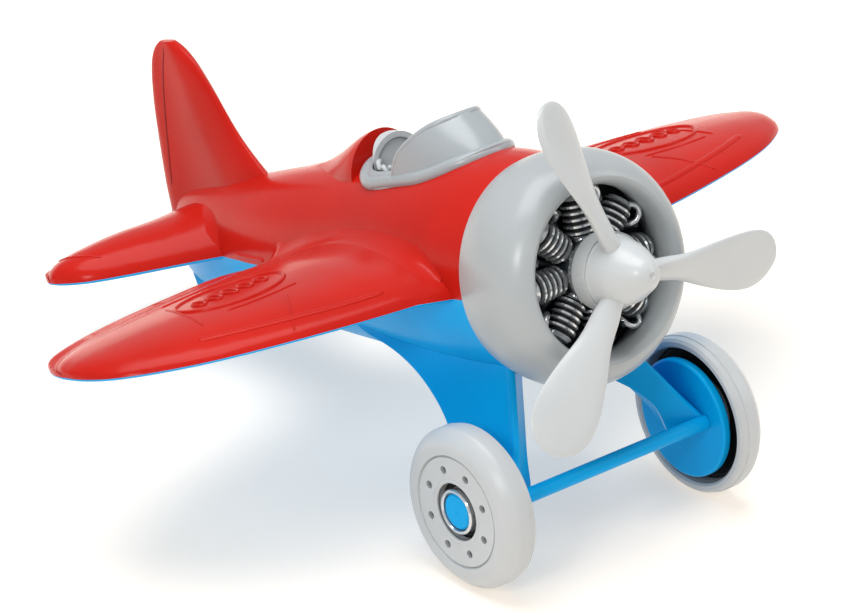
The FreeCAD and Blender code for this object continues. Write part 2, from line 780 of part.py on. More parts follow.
# ---------------------------------------------------------------- cockpit


def deck(offset):
    return fuselage(offset, 6)


def cockpit_tub():
    skin = deck(RIM_HEIGHT)
    above = deck(0.06)
    wall = cockpit_prism(1.1, COCKPIT_FLOOR - 2, 60).cut(cockpit_prism(2.9, COCKPIT_FLOOR, 60))
    wall = wall.common(skin)
    lip = cockpit_prism(-0.7, 10, 60).cut(cockpit_prism(2.9, 10, 60)).common(skin).cut(above)
    return fuse_all([wall, lip])


# Z, half width, half length
SCREEN_STATIONS = [(20.0, 15.3, 29.5), (26.0, 15.1, 28.0), (31.0, 14.6, 25.8), (36.0, 13.4, 21.6),
                   (40.5, 11.4, 17.0), (44.5, 8.2, 10.6)]
SCREEN_CENTRE = 72.0
SCREEN_WALL = 1.7


def windscreen():
    outer = loft([ellipse_wire(a, b, SCREEN_CENTRE, z) for z, a, b in SCREEN_STATIONS])
    inner = loft([ellipse_wire(a - SCREEN_WALL, b - SCREEN_WALL, SCREEN_CENTRE, z)
                  for z, a, b in SCREEN_STATIONS])
    edge = spline([(-30, 74.0, 18.0), (-30, 73.2, 26.0), (-30, 70.6, 32.0), (-30, 66.0, 36.0),
                   (-30, 60.0, 39.6), (-30, 52.0, 42.0)])
    side = Part.Wire([edge, Part.makeLine(V(-30, 52.0, 42.0), V(-30, 30.0, 42.0)),
                      Part.makeLine(V(-30, 30.0, 42.0), V(-30, 30.0, 18.0)),
                      Part.makeLine(V(-30, 30.0, 18.0), V(-30, 74.0, 18.0))])
    keep = Part.Face(side).extrude(V(60, 0, 0))
    screen = outer.cut(inner).common(keep).cut(deck(RIM_HEIGHT + 0.05))
    return biggest(screen)


def headrest():
    """Padded seat back with a raised border, standing against the hump."""
    def shield(half, top, y0, y1):
        arch = Part.Arc(V(-half, y0, top - half), V(0, y0, top), V(half, y0, top - half)).toShape()
        right = Part.makeLine(V(half, y0, top - half), V(half - 1.5, y0, COCKPIT_FLOOR + 6))
        base = Part.makeLine(V(half - 1.5, y0, COCKPIT_FLOOR + 6),
                             V(1.5 - half, y0, COCKPIT_FLOOR + 6))
        left = Part.makeLine(V(1.5 - half, y0, COCKPIT_FLOOR + 6), V(-half, y0, top - half))
        return Part.Face(Part.Wire([arch, right, base, left])).extrude(V(0, y1 - y0, 0))

    body = shield(9.2, 34.2, 89.2, 92.5).cut(shield(7.6, 32.6, 88.8, 90.2))
    return biggest(body.common(cockpit_prism(3.3, COCKPIT_FLOOR, 60)))


def seat_cushion():
    body = box(-8.0, 8.0, 77.0, 88.8, COCKPIT_FLOOR + 0.05, COCKPIT_FLOOR + 4.5)
    edges = [edge for edge in body.Edges if edge.BoundBox.ZLength > 3]
    return body.makeFillet(2.0, edges)


def instrument_panel():
    body = box(-10.1, 10.1, 58.0, 60.0, COCKPIT_FLOOR + 0.05, 25.0)
    edges = [edge for edge in body.Edges if edge.BoundBox.YLength > 1.5 and edge.BoundBox.ZMax > 24]
    return body.makeFillet(5.0, edges)


def control_stick():
    base = Part.makeCone(2.4, 1.4, 2.0, V(0, 69.0, COCKPIT_FLOOR + 0.05), Z_AXIS)
    shaft = Part.makeCylinder(1.0, 8.5, V(0, 69.0, COCKPIT_FLOOR + 1.0), Z_AXIS)
    knob = Part.makeSphere(1.7, V(0, 69.0, COCKPIT_FLOOR + 10.0))
    return fuse_all([base, shaft, knob])


# ---------------------------------------------------------------- tail skid

SKID_Y = 184.0


def ground_height(y):
    """Height of the ground under the level aeroplane at a given Y."""
    slope = math.radians(STANCE_ANGLE)
    below = WHEEL_Z * math.cos(slope) - WHEEL_Y * math.sin(slope) - WHEEL_RADIUS
    return (below + y * math.sin(slope)) / math.cos(slope)


def tail_skid(belly):
    foot = ground_height(SKID_Y)
    heel = ground_height(SKID_Y + 9.0)
    outline = [V(0, 160.0, -14.0), V(0, SKID_Y - 4.0, foot + 2.6), V(0, SKID_Y, foot),
               V(0, SKID_Y + 9.0, heel), V(0, SKID_Y + 12.0, heel + 3.2), V(0, 199.0, -13.0)]
    face = Part.Face(Part.makePolygon(outline + [outline[0]]))
    body = face.extrude(V(5.0, 0, 0))
    body.translate(V(-2.5, 0, 0))
    upright = [edge for edge in body.Edges if edge.BoundBox.XLength < 0.1]
    body = body.makeFillet(1.2, upright)
    return biggest(body.cut(belly))


# ---------------------------------------------------------------- stand it up and write it


def stand_up(shape):
    done = shape.copy()
    done.rotate(V(0, 0, 0), X_AXIS, -STANCE_ANGLE)
    slope = math.radians(STANCE_ANGLE)
    wheel_height = WHEEL_Z * math.cos(slope) - WHEEL_Y * math.sin(slope)
    done.translate(V(0, CENTRE_SHIFT, WHEEL_RADIUS - wheel_height))
    return done


def build():
    upper, lower = body_shells()
    outside = whole_body()
    pieces = {
        "upper_shell": upper,
        "lower_shell": lower,
        "shell_screws": shell_screws(),
        "tail_skid": tail_skid(outside),
        "cowl": cowl(),
        "nose_bulkhead": nose_bulkhead(),
        "engine_backplate": engine_backplate(),
        "engine_screws": engine_screws(),
        "crankcase": crankcase(),
        "crankcase_ring": crankcase_ring(),
        "engine_cylinders": round_the_engine(one_cylinder()),
        "pushrod_tubes": round_the_engine(one_pushrod(), 180.0 / CYLINDER_COUNT),
        "propeller": propeller(),
        "propeller_shaft": propeller_shaft(),
        "shaft_bearing": shaft_bearing(),
        "thrust_washer": thrust_washer(),
        "retaining_clip": retaining_clip(),
        "gear_leg_left": leg(-1, outside),
        "gear_leg_right": leg(1, outside),
        "spreader_bar": spreader_bar(),
        "wheel_left": mirrored(wheel()),
        "wheel_right": wheel(),
        "hub_cap_left": mirrored(hub_cap()),
        "hub_cap_right": hub_cap(),
        "axle_left": mirrored(axle()),
        "axle_right": axle(),
        "cockpit_tub": cockpit_tub(),
        "windscreen": windscreen(),
        "headrest": headrest(),
        "seat_cushion": seat_cushion(),
        "instrument_panel": instrument_panel(),
        "control_stick": control_stick(),
    }
    return pieces


os.makedirs("parts", exist_ok=True)
everything = FreeCAD.BoundBox()
for name, shape in build().items():
    placed = stand_up(shape)
    placed.exportStep(os.path.join("parts", name + ".step"))
    everything.add(placed.BoundBox)
    print(name, "solids", len(placed.Solids), "volume", round(placed.Volume, 1), placed.isValid())
print("size", everything)
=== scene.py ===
import bpy
import math
import numpy as np
from mathutils import Matrix, Vector
from mathutils.bvhtree import BVHTree


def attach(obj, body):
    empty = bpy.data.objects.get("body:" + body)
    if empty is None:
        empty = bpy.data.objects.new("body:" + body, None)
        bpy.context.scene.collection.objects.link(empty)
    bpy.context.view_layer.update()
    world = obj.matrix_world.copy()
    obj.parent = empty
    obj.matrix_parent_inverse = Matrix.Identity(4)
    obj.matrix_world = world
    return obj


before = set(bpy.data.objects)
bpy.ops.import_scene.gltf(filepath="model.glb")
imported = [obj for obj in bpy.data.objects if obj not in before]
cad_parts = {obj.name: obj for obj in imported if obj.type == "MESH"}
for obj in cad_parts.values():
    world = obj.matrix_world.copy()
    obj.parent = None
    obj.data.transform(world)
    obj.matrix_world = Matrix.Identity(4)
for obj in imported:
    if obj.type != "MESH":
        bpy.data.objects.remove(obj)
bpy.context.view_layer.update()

# The aeroplane is worked out flying level, in millimetres: X across the wings, Y from
# the propeller to the tail, Z up, with the origin in the middle of the propeller.
# level() stands a point of it on its wheels and tail skid, in metres.
STANCE = math.radians(17.7)
CENTRE_SHIFT = -95.0
HUB_HEIGHT = 84.391
SIN, COS = math.sin(STANCE), math.cos(STANCE)


def level(x, y, z):
    return Vector((x, COS * y + SIN * z + CENTRE_SHIFT, COS * z - SIN * y + HUB_HEIGHT)) * 0.001


def unlevel(point):
    x, y, z = point[0] * 1000, point[1] * 1000 - CENTRE_SHIFT, point[2] * 1000 - HUB_HEIGHT
    return Vector((x, COS * y - SIN * z, SIN * y + COS * z))


# ------------------------------------------------------------------ shader groups


def group_socket(group, name, side, kind, value=None):
    socket = group.interface.new_socket(name=name, in_out=side, socket_type=kind)
    if value is not None:
        socket.default_value = value


def wire(tree, pairs):
    for out_socket, in_socket in pairs:
        tree.links.new(out_socket, in_socket)


def node(tree, kind, **settings):
    made = tree.nodes.new(kind)
    for key, value in settings.items():
        setattr(made, key, value)
    return made


def moulded_plastic_group():
    """Colour drift, orange-peel skin, fine handling scuffs and a soft bump for moulded plastic."""
    group = bpy.data.node_groups.new("moulded_plastic", "ShaderNodeTree")
    group_socket(group, "Colour", "INPUT", "NodeSocketColor", (0.5, 0.5, 0.5, 1))
    group_socket(group, "Drift Colour", "INPUT", "NodeSocketColor", (0.4, 0.4, 0.4, 1))
    group_socket(group, "Gloss", "INPUT", "NodeSocketFloat", 0.35)
    group_socket(group, "Scuffs", "INPUT", "NodeSocketFloat", 0.08)
    group_socket(group, "Peel", "INPUT", "NodeSocketFloat", 0.05)
    group_socket(group, "Colour", "OUTPUT", "NodeSocketColor")
    group_socket(group, "Roughness", "OUTPUT", "NodeSocketFloat")
    group_socket(group, "Normal", "OUTPUT", "NodeSocketVector")
    ins = node(group, "NodeGroupInput")
    outs = node(group, "NodeGroupOutput")
    place = node(group, "ShaderNodeTexCoord")
    cloud = node(group, "ShaderNodeTexNoise")
    cloud.inputs["Scale"].default_value = 28.0
    cloud.inputs["Detail"].default_value = 3.0
    cloud_ramp = node(group, "ShaderNodeMapRange")
    cloud_ramp.inputs["From Min"].default_value = 0.38
    cloud_ramp.inputs["From Max"].default_value = 0.68
    fleck = node(group, "ShaderNodeTexNoise")
    fleck.inputs["Scale"].default_value = 900.0
    fleck.inputs["Detail"].default_value = 2.0
    fleck_ramp = node(group, "ShaderNodeMapRange")
    fleck_ramp.inputs["From Min"].default_value = 0.6
    fleck_ramp.inputs["From Max"].default_value = 0.8
    fleck_ramp.inputs["To Max"].default_value = 0.35
    both = node(group, "ShaderNodeMath", operation="MAXIMUM")
    tint = node(group, "ShaderNodeMix", data_type="RGBA")
    peel = node(group, "ShaderNodeTexNoise")
    peel.inputs["Scale"].default_value = 380.0
    peel.inputs["Detail"].default_value = 3.0
    peel.inputs["Roughness"].default_value = 0.6
    stretch = node(group, "ShaderNodeMapping")
    stretch.inputs["Scale"].default_value = (1.0, 0.12, 0.4)
    stretch.inputs["Rotation"].default_value = (0.3, 0.2, 0.7)
    scratch = node(group, "ShaderNodeTexNoise")
    scratch.inputs["Scale"].default_value = 1400.0
    scratch.inputs["Detail"].default_value = 2.0
    scratch_ramp = node(group, "ShaderNodeMapRange")
    scratch_ramp.inputs["From Min"].default_value = 0.62
    scratch_ramp.inputs["From Max"].default_value = 0.85
    rub = node(group, "ShaderNodeMath", operation="MULTIPLY")
    haze = node(group, "ShaderNodeMath", operation="MULTIPLY_ADD")
    haze.inputs[1].default_value = 0.10
    rough = node(group, "ShaderNodeMath", operation="ADD", use_clamp=True)
    bump = node(group, "ShaderNodeBump")
    bump.inputs["Distance"].default_value = 0.0004
    wire(group, [
        (place.outputs["Object"], cloud.inputs["Vector"]),
        (place.outputs["Object"], fleck.inputs["Vector"]),
        (place.outputs["Object"], peel.inputs["Vector"]),
        (place.outputs["Object"], stretch.inputs["Vector"]),
        (stretch.outputs["Vector"], scratch.inputs["Vector"]),
        (cloud.outputs["Fac"], cloud_ramp.inputs["Value"]),
        (fleck.outputs["Fac"], fleck_ramp.inputs["Value"]),
        (cloud_ramp.outputs["Result"], both.inputs[0]),
        (fleck_ramp.outputs["Result"], both.inputs[1]),
        (both.outputs[0], tint.inputs["Factor"]),
        (ins.outputs["Colour"], tint.inputs["A"]),
        (ins.outputs["Drift Colour"], tint.inputs["B"]),
        (tint.outputs["Result"], outs.inputs["Colour"]),
        (scratch.outputs["Fac"], scratch_ramp.inputs["Value"]),
        (scratch_ramp.outputs["Result"], rub.inputs[0]),
        (ins.outputs["Scuffs"], rub.inputs[1]),
        (cloud.outputs["Fac"], haze.inputs[0]),
        (rub.outputs[0], haze.inputs[2]),
        (haze.outputs[0], rough.inputs[0]),
        (ins.outputs["Gloss"], rough.inputs[1]),
        (rough.outputs[0], outs.inputs["Roughness"]),
        (ins.outputs["Peel"], bump.inputs["Strength"]),
        (peel.outputs["Fac"], bump.inputs["Height"]),
        (bump.outputs["Normal"], outs.inputs["Normal"]),
    ])
    return group


def turned_metal_group():
    """Fine ring marks and dull patches for pins, screws and clips."""
    group = bpy.data.node_groups.new("turned_metal", "ShaderNodeTree")
    group_socket(group, "Bright", "INPUT", "NodeSocketColor", (0.7, 0.7, 0.7, 1))
    group_socket(group, "Dull", "INPUT", "NodeSocketColor", (0.3, 0.3, 0.3, 1))
    group_socket(group, "Colour", "OUTPUT", "NodeSocketColor")
    group_socket(group, "Roughness", "OUTPUT", "NodeSocketFloat")
    group_socket(group, "Normal", "OUTPUT", "NodeSocketVector")
    ins = node(group, "NodeGroupInput")
    outs = node(group, "NodeGroupOutput")
    place = node(group, "ShaderNodeTexCoord")
    rings = node(group, "ShaderNodeTexNoise")
    rings.inputs["Scale"].default_value = 1600.0
    patches = node(group, "ShaderNodeTexNoise")
    patches.inputs["Scale"].default_value = 260.0
    patches.inputs["Detail"].default_value = 4.0
    tint = node(group, "ShaderNodeMix", data_type="RGBA")
    rough = node(group, "ShaderNodeMapRange")
    rough.inputs["To Min"].default_value = 0.22
    rough.inputs["To Max"].default_value = 0.5
    bump = node(group, "ShaderNodeBump")
    bump.inputs["Strength"].default_value = 0.2
    bump.inputs["Distance"].default_value = 0.0001
    wire(group, [
        (place.outputs["Object"], rings.inputs["Vector"]),
        (place.outputs["Object"], patches.inputs["Vector"]),
        (patches.outputs["Fac"], tint.inputs["Factor"]),
        (ins.outputs["Bright"], tint.inputs["A"]),
        (ins.outputs["Dull"], tint.inputs["B"]),
        (tint.outputs["Result"], outs.inputs["Colour"]),
        (patches.outputs["Fac"], rough.inputs["Value"]),
        (rough.outputs["Result"], outs.inputs["Roughness"]),
        (rings.outputs["Fac"], bump.inputs["Height"]),
        (bump.outputs["Normal"], outs.inputs["Normal"]),
    ])
    return group


PLASTIC = moulded_plastic_group()
METAL = turned_metal_group()


def plastic(name, colour, drift, gloss, scuffs=0.08, peel=0.05, shine=0.5, flash=0.0):
    """Moulded plastic; shine is its specular level and flash how metallic it looks."""
    made = bpy.data.materials.new(name)
    made.use_nodes = True
    tree = made.node_tree
    shader = tree.nodes["Principled BSDF"]
    skin = node(tree, "ShaderNodeGroup", node_tree=PLASTIC)
    skin.inputs["Colour"].default_value = (*colour, 1)
    skin.inputs["Drift Colour"].default_value = (*drift, 1)
    skin.inputs["Gloss"].default_value = gloss
    skin.inputs["Scuffs"].default_value = scuffs
    skin.inputs["Peel"].default_value = peel
    wire(tree, [(skin.outputs["Colour"], shader.inputs["Base Color"]),
                (skin.outputs["Roughness"], shader.inputs["Roughness"]),
                (skin.outputs["Normal"], shader.inputs["Normal"])])
    shader.inputs["IOR"].default_value = 1.49
    shader.inputs["Specular IOR Level"].default_value = shine
    shader.inputs["Metallic"].default_value = flash
    return made


def metal(name, bright, dull):
    made = bpy.data.materials.new(name)
    made.use_nodes = True
    tree = made.node_tree
    shader = tree.nodes["Principled BSDF"]
    skin = node(tree, "ShaderNodeGroup", node_tree=METAL)
    skin.inputs["Bright"].default_value = (*bright, 1)
    skin.inputs["Dull"].default_value = (*dull, 1)
    wire(tree, [(skin.outputs["Colour"], shader.inputs["Base Color"]),
                (skin.outputs["Roughness"], shader.inputs["Roughness"]),
                (skin.outputs["Normal"], shader.inputs["Normal"])])
    shader.inputs["Metallic"].default_value = 1.0
    return made


RED = plastic("red_shell_plastic", (0.475, 0.0125, 0.0070), (0.430, 0.0105, 0.0058), 0.16,
              scuffs=0.008, peel=0.03, shine=0.13)
# Dark red for the rudder line: painted shade standing in for the shadow inside a groove the
# moulding lacks.
RED_GROOVE_SHADE = plastic("red_groove_painted_shade", (0.24, 0.002, 0.001), (0.20, 0.002, 0.001), 0.4,
                     shine=0.2)
BLUE = plastic("blue_shell_plastic", (0.0008, 0.345, 0.730), (0.0008, 0.305, 0.665), 0.24,
               scuffs=0.008, peel=0.03, shine=0.1)
LIGHT_GREY = plastic("light_grey_plastic", (0.360, 0.388, 0.402), (0.330, 0.358, 0.372), 0.24,
                     scuffs=0.008, peel=0.025, shine=0.5)
COCKPIT_GREY = plastic("cockpit_grey_plastic", (0.320, 0.355, 0.375), (0.290, 0.325, 0.345), 0.22,
                       scuffs=0.008, peel=0.025, shine=0.6)
PALE_GREY = plastic("propeller_grey_plastic", (0.500, 0.523, 0.532), (0.468, 0.490, 0.500), 0.24,
                    scuffs=0.008, peel=0.025, shine=0.5)
WHEEL_GREY = plastic("wheel_grey_plastic", (0.480, 0.502, 0.515), (0.450, 0.472, 0.485), 0.28,
                     scuffs=0.02, peel=0.04, shine=0.4)
BRIGHT_GREY = plastic("engine_bright_plastic", (0.62, 0.65, 0.67), (0.50, 0.53, 0.55), 0.10,
                      scuffs=0.05, peel=0.05, shine=0.7, flash=0.75)
# Dark grey for the crankcase and pushrod tubes; the same material is also painted shade in the
# floors of the wheel dimples.
DARK_GREY_AND_SHADE = plastic("dark_plastic_and_painted_shade", (0.022, 0.028, 0.034), (0.016, 0.020, 0.026), 0.28,
                    scuffs=0.1, peel=0.06)
# Black for the engine back plate and nose bulkhead; the same material is also painted shade in the
# fin sleeves, hub rings, wheel backs and seat-clip gap tubes.
BLACK_AND_SHADE = plastic("black_plastic_and_painted_shade", (0.003, 0.004, 0.006), (0.006, 0.007, 0.009), 0.5,
                scuffs=0.1, peel=0.06, shine=0.3)
BEARING = plastic("bearing_white_plastic", (0.60, 0.59, 0.56), (0.54, 0.53, 0.50), 0.4)
PIN = metal("pin_steel", (0.74, 0.74, 0.76), (0.42, 0.42, 0.44))
SCREW = metal("screw_steel", (0.55, 0.55, 0.56), (0.22, 0.22, 0.23))

FINISHES = {
    "upper_shell": RED, "lower_shell": BLUE, "tail_skid": BLUE, "gear_leg_left": BLUE,
    "gear_leg_right": BLUE, "spreader_bar": BLUE, "axle_left": BLUE, "axle_right": BLUE,
    "cowl": LIGHT_GREY, "wheel_left": WHEEL_GREY, "wheel_right": WHEEL_GREY,
    "cockpit_tub": COCKPIT_GREY, "windscreen": COCKPIT_GREY, "headrest": WHEEL_GREY,
    "seat_cushion": COCKPIT_GREY, "instrument_panel": COCKPIT_GREY,
    "control_stick": COCKPIT_GREY, "propeller": PALE_GREY, "engine_cylinders": BRIGHT_GREY,
    "crankcase_ring": BRIGHT_GREY, "hub_cap_left": BRIGHT_GREY, "hub_cap_right": BRIGHT_GREY,
    "crankcase": DARK_GREY_AND_SHADE, "engine_backplate": BLACK_AND_SHADE, "nose_bulkhead": BLACK_AND_SHADE,
    "pushrod_tubes": DARK_GREY_AND_SHADE, "shaft_bearing": BEARING, "thrust_washer": BEARING,
    "propeller_shaft": PIN, "retaining_clip": PIN, "shell_screws": SCREW,
    "engine_screws": SCREW,
}
for name, made in FINISHES.items():
    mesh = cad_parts[name].data
    mesh.materials.clear()
    mesh.materials.append(made)

# ------------------------------------------------------------------ making pieces


def piece(name, points, faces, finish, body, smooth=True):
    mesh = bpy.data.meshes.new(name)
    mesh.from_pydata([tuple(p) for p in points], [], faces)
    mesh.validate()
    mesh.update()
    if smooth:
        mesh.shade_smooth()
    made = bpy.data.objects.new(name, mesh)
    bpy.context.scene.collection.objects.link(made)
    made.data.materials.append(finish)
    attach(made, body)
    return made


class Skin:
    """The outside of one moulded node, for laying detail on it."""

    def __init__(self, name):
        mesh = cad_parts[name].data
        mesh.calc_loop_triangles()
        corners = [unlevel(v.co) for v in mesh.vertices]
        self.tree = BVHTree.FromPolygons(corners, [t.vertices[:] for t in mesh.loop_triangles])

    def along(self, start, direction):
        where, normal, _, _ = self.tree.ray_cast(Vector(start), Vector(direction), 400)
        if where is None:
            return None, None
        if normal.dot(Vector(direction)) > 0:
            normal = -normal
        return where, normal

    def top(self, x, y):
        return self.along((x, y, 90), (0, 0, -1))

    def side(self, x_sign, y, z):
        return self.along((x_sign * 120, y, z), (-x_sign, 0, 0))


def smooth_path(points, count, closed=False):
    """Even points on a Catmull-Rom curve through a few given ones."""
    pts = [np.array(p, float) for p in points]
    total = len(pts)
    spans = total if closed else total - 1
    out = []
    for k in range(count):
        u = spans * k / (count if closed else count - 1)
        i = min(int(u), spans - 1)
        t = u - i
        ids = [i - 1, i, i + 1, i + 2]
        if closed:
            a, b, c, d = [pts[j % total] for j in ids]
        else:
            a, b, c, d = [pts[min(max(j, 0), total - 1)] for j in ids]
        out.append(0.5 * (2 * b + (c - a) * t + (2 * a - 5 * b + 4 * c - d) * t * t
                          + (3 * b - a - 3 * c + d) * t ** 3))
    return out


BEAD_PROFILE = [(-0.5, -0.25), (-0.44, 0.45), (-0.26, 0.85), (0.0, 1.0),
                (0.26, 0.85), (0.44, 0.45), (0.5, -0.25)]


def bead(name, path, normals, width, height, finish, body, closed=False):
    """Rounded raised strip along a path on a surface; an open one tapers at its ends."""
    count = len(path)
    points = []
    for k, (here, normal) in enumerate(zip(path, normals)):
        before = path[k - 1] if (k > 0 or closed) else here
        after = path[(k + 1) % count] if (k < count - 1 or closed) else here
        run = (Vector(after) - Vector(before)).normalized()
        across = run.cross(Vector(normal)).normalized()
        share = 1.0
        if not closed:
            share = min(1.0, 0.3 + 0.35 * min(k, count - 1 - k))
        for u, v in BEAD_PROFILE:
            aside = across * (u * width * share)
            points.append(level(*(Vector(here) + aside + Vector(normal) * (v * height * share))))
    rows = len(BEAD_PROFILE)
    faces = []
    for k in range(count if closed else count - 1):
        a, b = k * rows, ((k + 1) % count) * rows
        for j in range(rows - 1):
            faces.append((a + j, a + j + 1, b + j + 1, b + j))
    if not closed:
        faces.append(tuple(range(rows - 1, -1, -1)))
        faces.append(tuple((count - 1) * rows + j for j in range(rows)))
    return piece(name, points, faces, finish, body)


def tube(name, path, radius, finish, body, sides=10, closed=False):
    """Round tube along a path in the level frame."""
    count = len(path)
    points, faces = [], []
    lift = Vector((0.13, 0.27, 0.95)).normalized()
    for k in range(count):
        here = Vector(path[k])
        before = Vector(path[k - 1]) if (k > 0 or closed) else here
        after = Vector(path[(k + 1) % count]) if (k < count - 1 or closed) else here
        run = (after - before).normalized()
        across = run.cross(lift).normalized()
        up = across.cross(run).normalized()
        lift = up
        for j in range(sides):
            turn = 2 * math.pi * j / sides
            aside = across * (radius * math.cos(turn))
            points.append(level(*(here + aside + up * (radius * math.sin(turn)))))
    for k in range(count if closed else count - 1):
        a, b = k * sides, ((k + 1) % count) * sides
        for j in range(sides):
            n = (j + 1) % sides
            faces.append((a + j, a + n, b + n, b + j))
    if not closed:
        faces.append(tuple(range(sides - 1, -1, -1)))
        faces.append(tuple((count - 1) * sides + j for j in range(sides)))
    return piece(name, points, faces, finish, body)


def turned(name, outline, centre, axis, finish, body, steps=72):
    """Closed outline of (along the axis, radius) spun round an axis through centre."""
    axis = Vector(axis).normalized()
    side = axis.orthogonal().normalized()
    up = axis.cross(side)
    points, faces = [], []
    rows = len(outline)
    for k in range(steps):
        turn = 2 * math.pi * k / steps
        out = side * math.cos(turn) + up * math.sin(turn)
        for along, radius in outline:
            points.append(level(*(Vector(centre) + axis * along + out * radius)))
    for k in range(steps):
        a, b = k * rows, ((k + 1) % steps) * rows
        for j in range(rows):
            n = (j + 1) % rows
            faces.append((a + j, b + j, b + n, a + n))
    return piece(name, points, faces, finish, body)


red_skin = Skin("upper_shell")
blue_skin = Skin("lower_shell")


def laid_on_top(skin, flat_points):
    """Drop flat (x, y) points on to the top of a skin."""
    path, normals = [], []
    for x, y in flat_points:
        where, normal = skin.top(x, y)
        if where is None:
            continue
        path.append(where)
        normals.append(normal)
    return path, normals


# ------------------------------------------------------------------ blended roots

WING_BALL_RADIUS = 9.0
TAIL_BALL_RADIUS = 6.0
GRID_STEP = 0.6
FADE_OUT = 6.0               # the skin thins out over this distance at its edges
NOSE_FADE = 20.0             # and over this one at its front end
NO_SKIN = -60.0              # height given to places with nothing under them
EMPTY_BELOW = -50.0
LEAST_GAIN = 0.03
TUCK_IN = 0.14               # how far the edge of the skin sinks into the moulding


def eased(share):
    return share * share * (3 - 2 * share)


def calm_along_y(heights, reach=9):
    """Average out small ripples along the length of the aeroplane."""
    wide = np.pad(heights, ((0, 0), (reach, reach)), mode="edge")
    weights = [math.exp(-(k / (0.5 * reach)) ** 2) for k in range(-reach, reach + 1)]
    total = sum(w * wide[:, k:k + heights.shape[1]] for k, w in enumerate(weights))
    return total / sum(weights)


def rolled_fillet(name, x_from, x_to, y_from, y_to, radius):
    """Skin left by a ball rolled along the inside corners between two moulded surfaces."""
    xs = np.arange(x_from, x_to + 0.01, GRID_STEP)
    ys = np.arange(y_from, y_to + 0.01, GRID_STEP)
    heights = np.full((len(xs), len(ys)), NO_SKIN)
    for i, x in enumerate(xs):
        for j, y in enumerate(ys):
            where, _ = red_skin.top(x, y)
            if where is not None:
                heights[i, j] = where.z
    reach = int(radius / GRID_STEP)
    ball = [(i, j, math.sqrt(radius ** 2 - (i * i + j * j) * GRID_STEP ** 2))
            for i in range(-reach, reach + 1) for j in range(-reach, reach + 1)
            if (i * i + j * j) * GRID_STEP ** 2 < radius ** 2]
    wide = np.pad(heights, reach, mode="edge")
    nx, ny = heights.shape
    over = np.full(heights.shape, -1e9)
    for i, j, lift in ball:
        part = wide[reach + i:reach + i + nx, reach + j:reach + j + ny]
        over = np.maximum(over, part + lift)
    wide = np.pad(over, reach, mode="edge")
    under = np.full(heights.shape, 1e9)
    for i, j, lift in ball:
        part = wide[reach + i:reach + i + nx, reach + j:reach + j + ny]
        under = np.minimum(under, part - lift)
    # the skin sinks back to nothing where the surface under it ends
    solid = heights > EMPTY_BELOW
    solid[0, :] = solid[-1, :] = solid[:, 0] = solid[:, -1] = False
    depth = solid.astype(float)
    shrunk = solid
    for _ in range(int(FADE_OUT / GRID_STEP)):
        smaller = shrunk.copy()
        for i, j in ((1, 0), (-1, 0), (0, 1), (0, -1)):
            smaller &= np.roll(np.roll(shrunk, i, 0), j, 1)
        shrunk = smaller
        depth += shrunk
    under = calm_along_y(under)
    fade = eased(depth / depth.max()) * eased(np.clip((ys - ys[0]) / NOSE_FADE, 0, 1))[None, :]
    gain = np.maximum(under - heights, 0) * fade
    rise, run = np.gradient(np.maximum(heights, -3.0), GRID_STEP)
    sink = np.minimum(TUCK_IN * np.sqrt(1 + rise ** 2 + run ** 2), 1.2)
    keep = (gain > LEAST_GAIN) & (heights > EMPTY_BELOW)
    number = -np.ones(heights.shape, int)
    points, faces = [], []
    for i, j in np.argwhere(keep):
        number[i, j] = len(points)
        points.append(level(xs[i], ys[j], heights[i, j] + gain[i, j] - sink[i, j]))
    for i in range(nx - 1):
        for j in range(ny - 1):
            corner = (number[i, j], number[i + 1, j], number[i + 1, j + 1], number[i, j + 1])
            if min(corner) >= 0:
                faces.append(tuple(int(n) for n in corner))
    made = piece(name, points, faces, RED, "airframe")
    relax = made.modifiers.new("relax", "SMOOTH")
    relax.factor = 0.5
    relax.iterations = 5
    depsgraph = bpy.context.evaluated_depsgraph_get()
    calm = bpy.data.meshes.new_from_object(made.evaluated_get(depsgraph))
    made.modifiers.clear()
    made.data = calm


for side, word in ((-1, "left"), (1, "right")):
    near, far = sorted((side * 10.0, side * 48.0))
    rolled_fillet("wing_root_fillet_" + word, near, far, 38.0, 133.0, WING_BALL_RADIUS)
    near, far = sorted((side * 6.2, side * 34.0))
    rolled_fillet("tail_root_fillet_" + word, near, far, 140.0, 208.0, TAIL_BALL_RADIUS)

# ------------------------------------------------------------------ raised detail on the red shell


def oval(centre_x, centre_y, half_x, half_y, count=64):
    return [(centre_x + half_x * math.cos(2 * math.pi * k / count),
             centre_y + half_y * math.sin(2 * math.pi * k / count)) for k in range(count)]


def red_bead(name, flat_points, width, height, count=40, closed=False):
    if closed:
        laid = flat_points
    else:
        laid = [p[:2] for p in smooth_path(flat_points, count)]
    path, normals = laid_on_top(red_skin, laid)
    return bead(name, path, normals, width, height, RED, "airframe", closed)


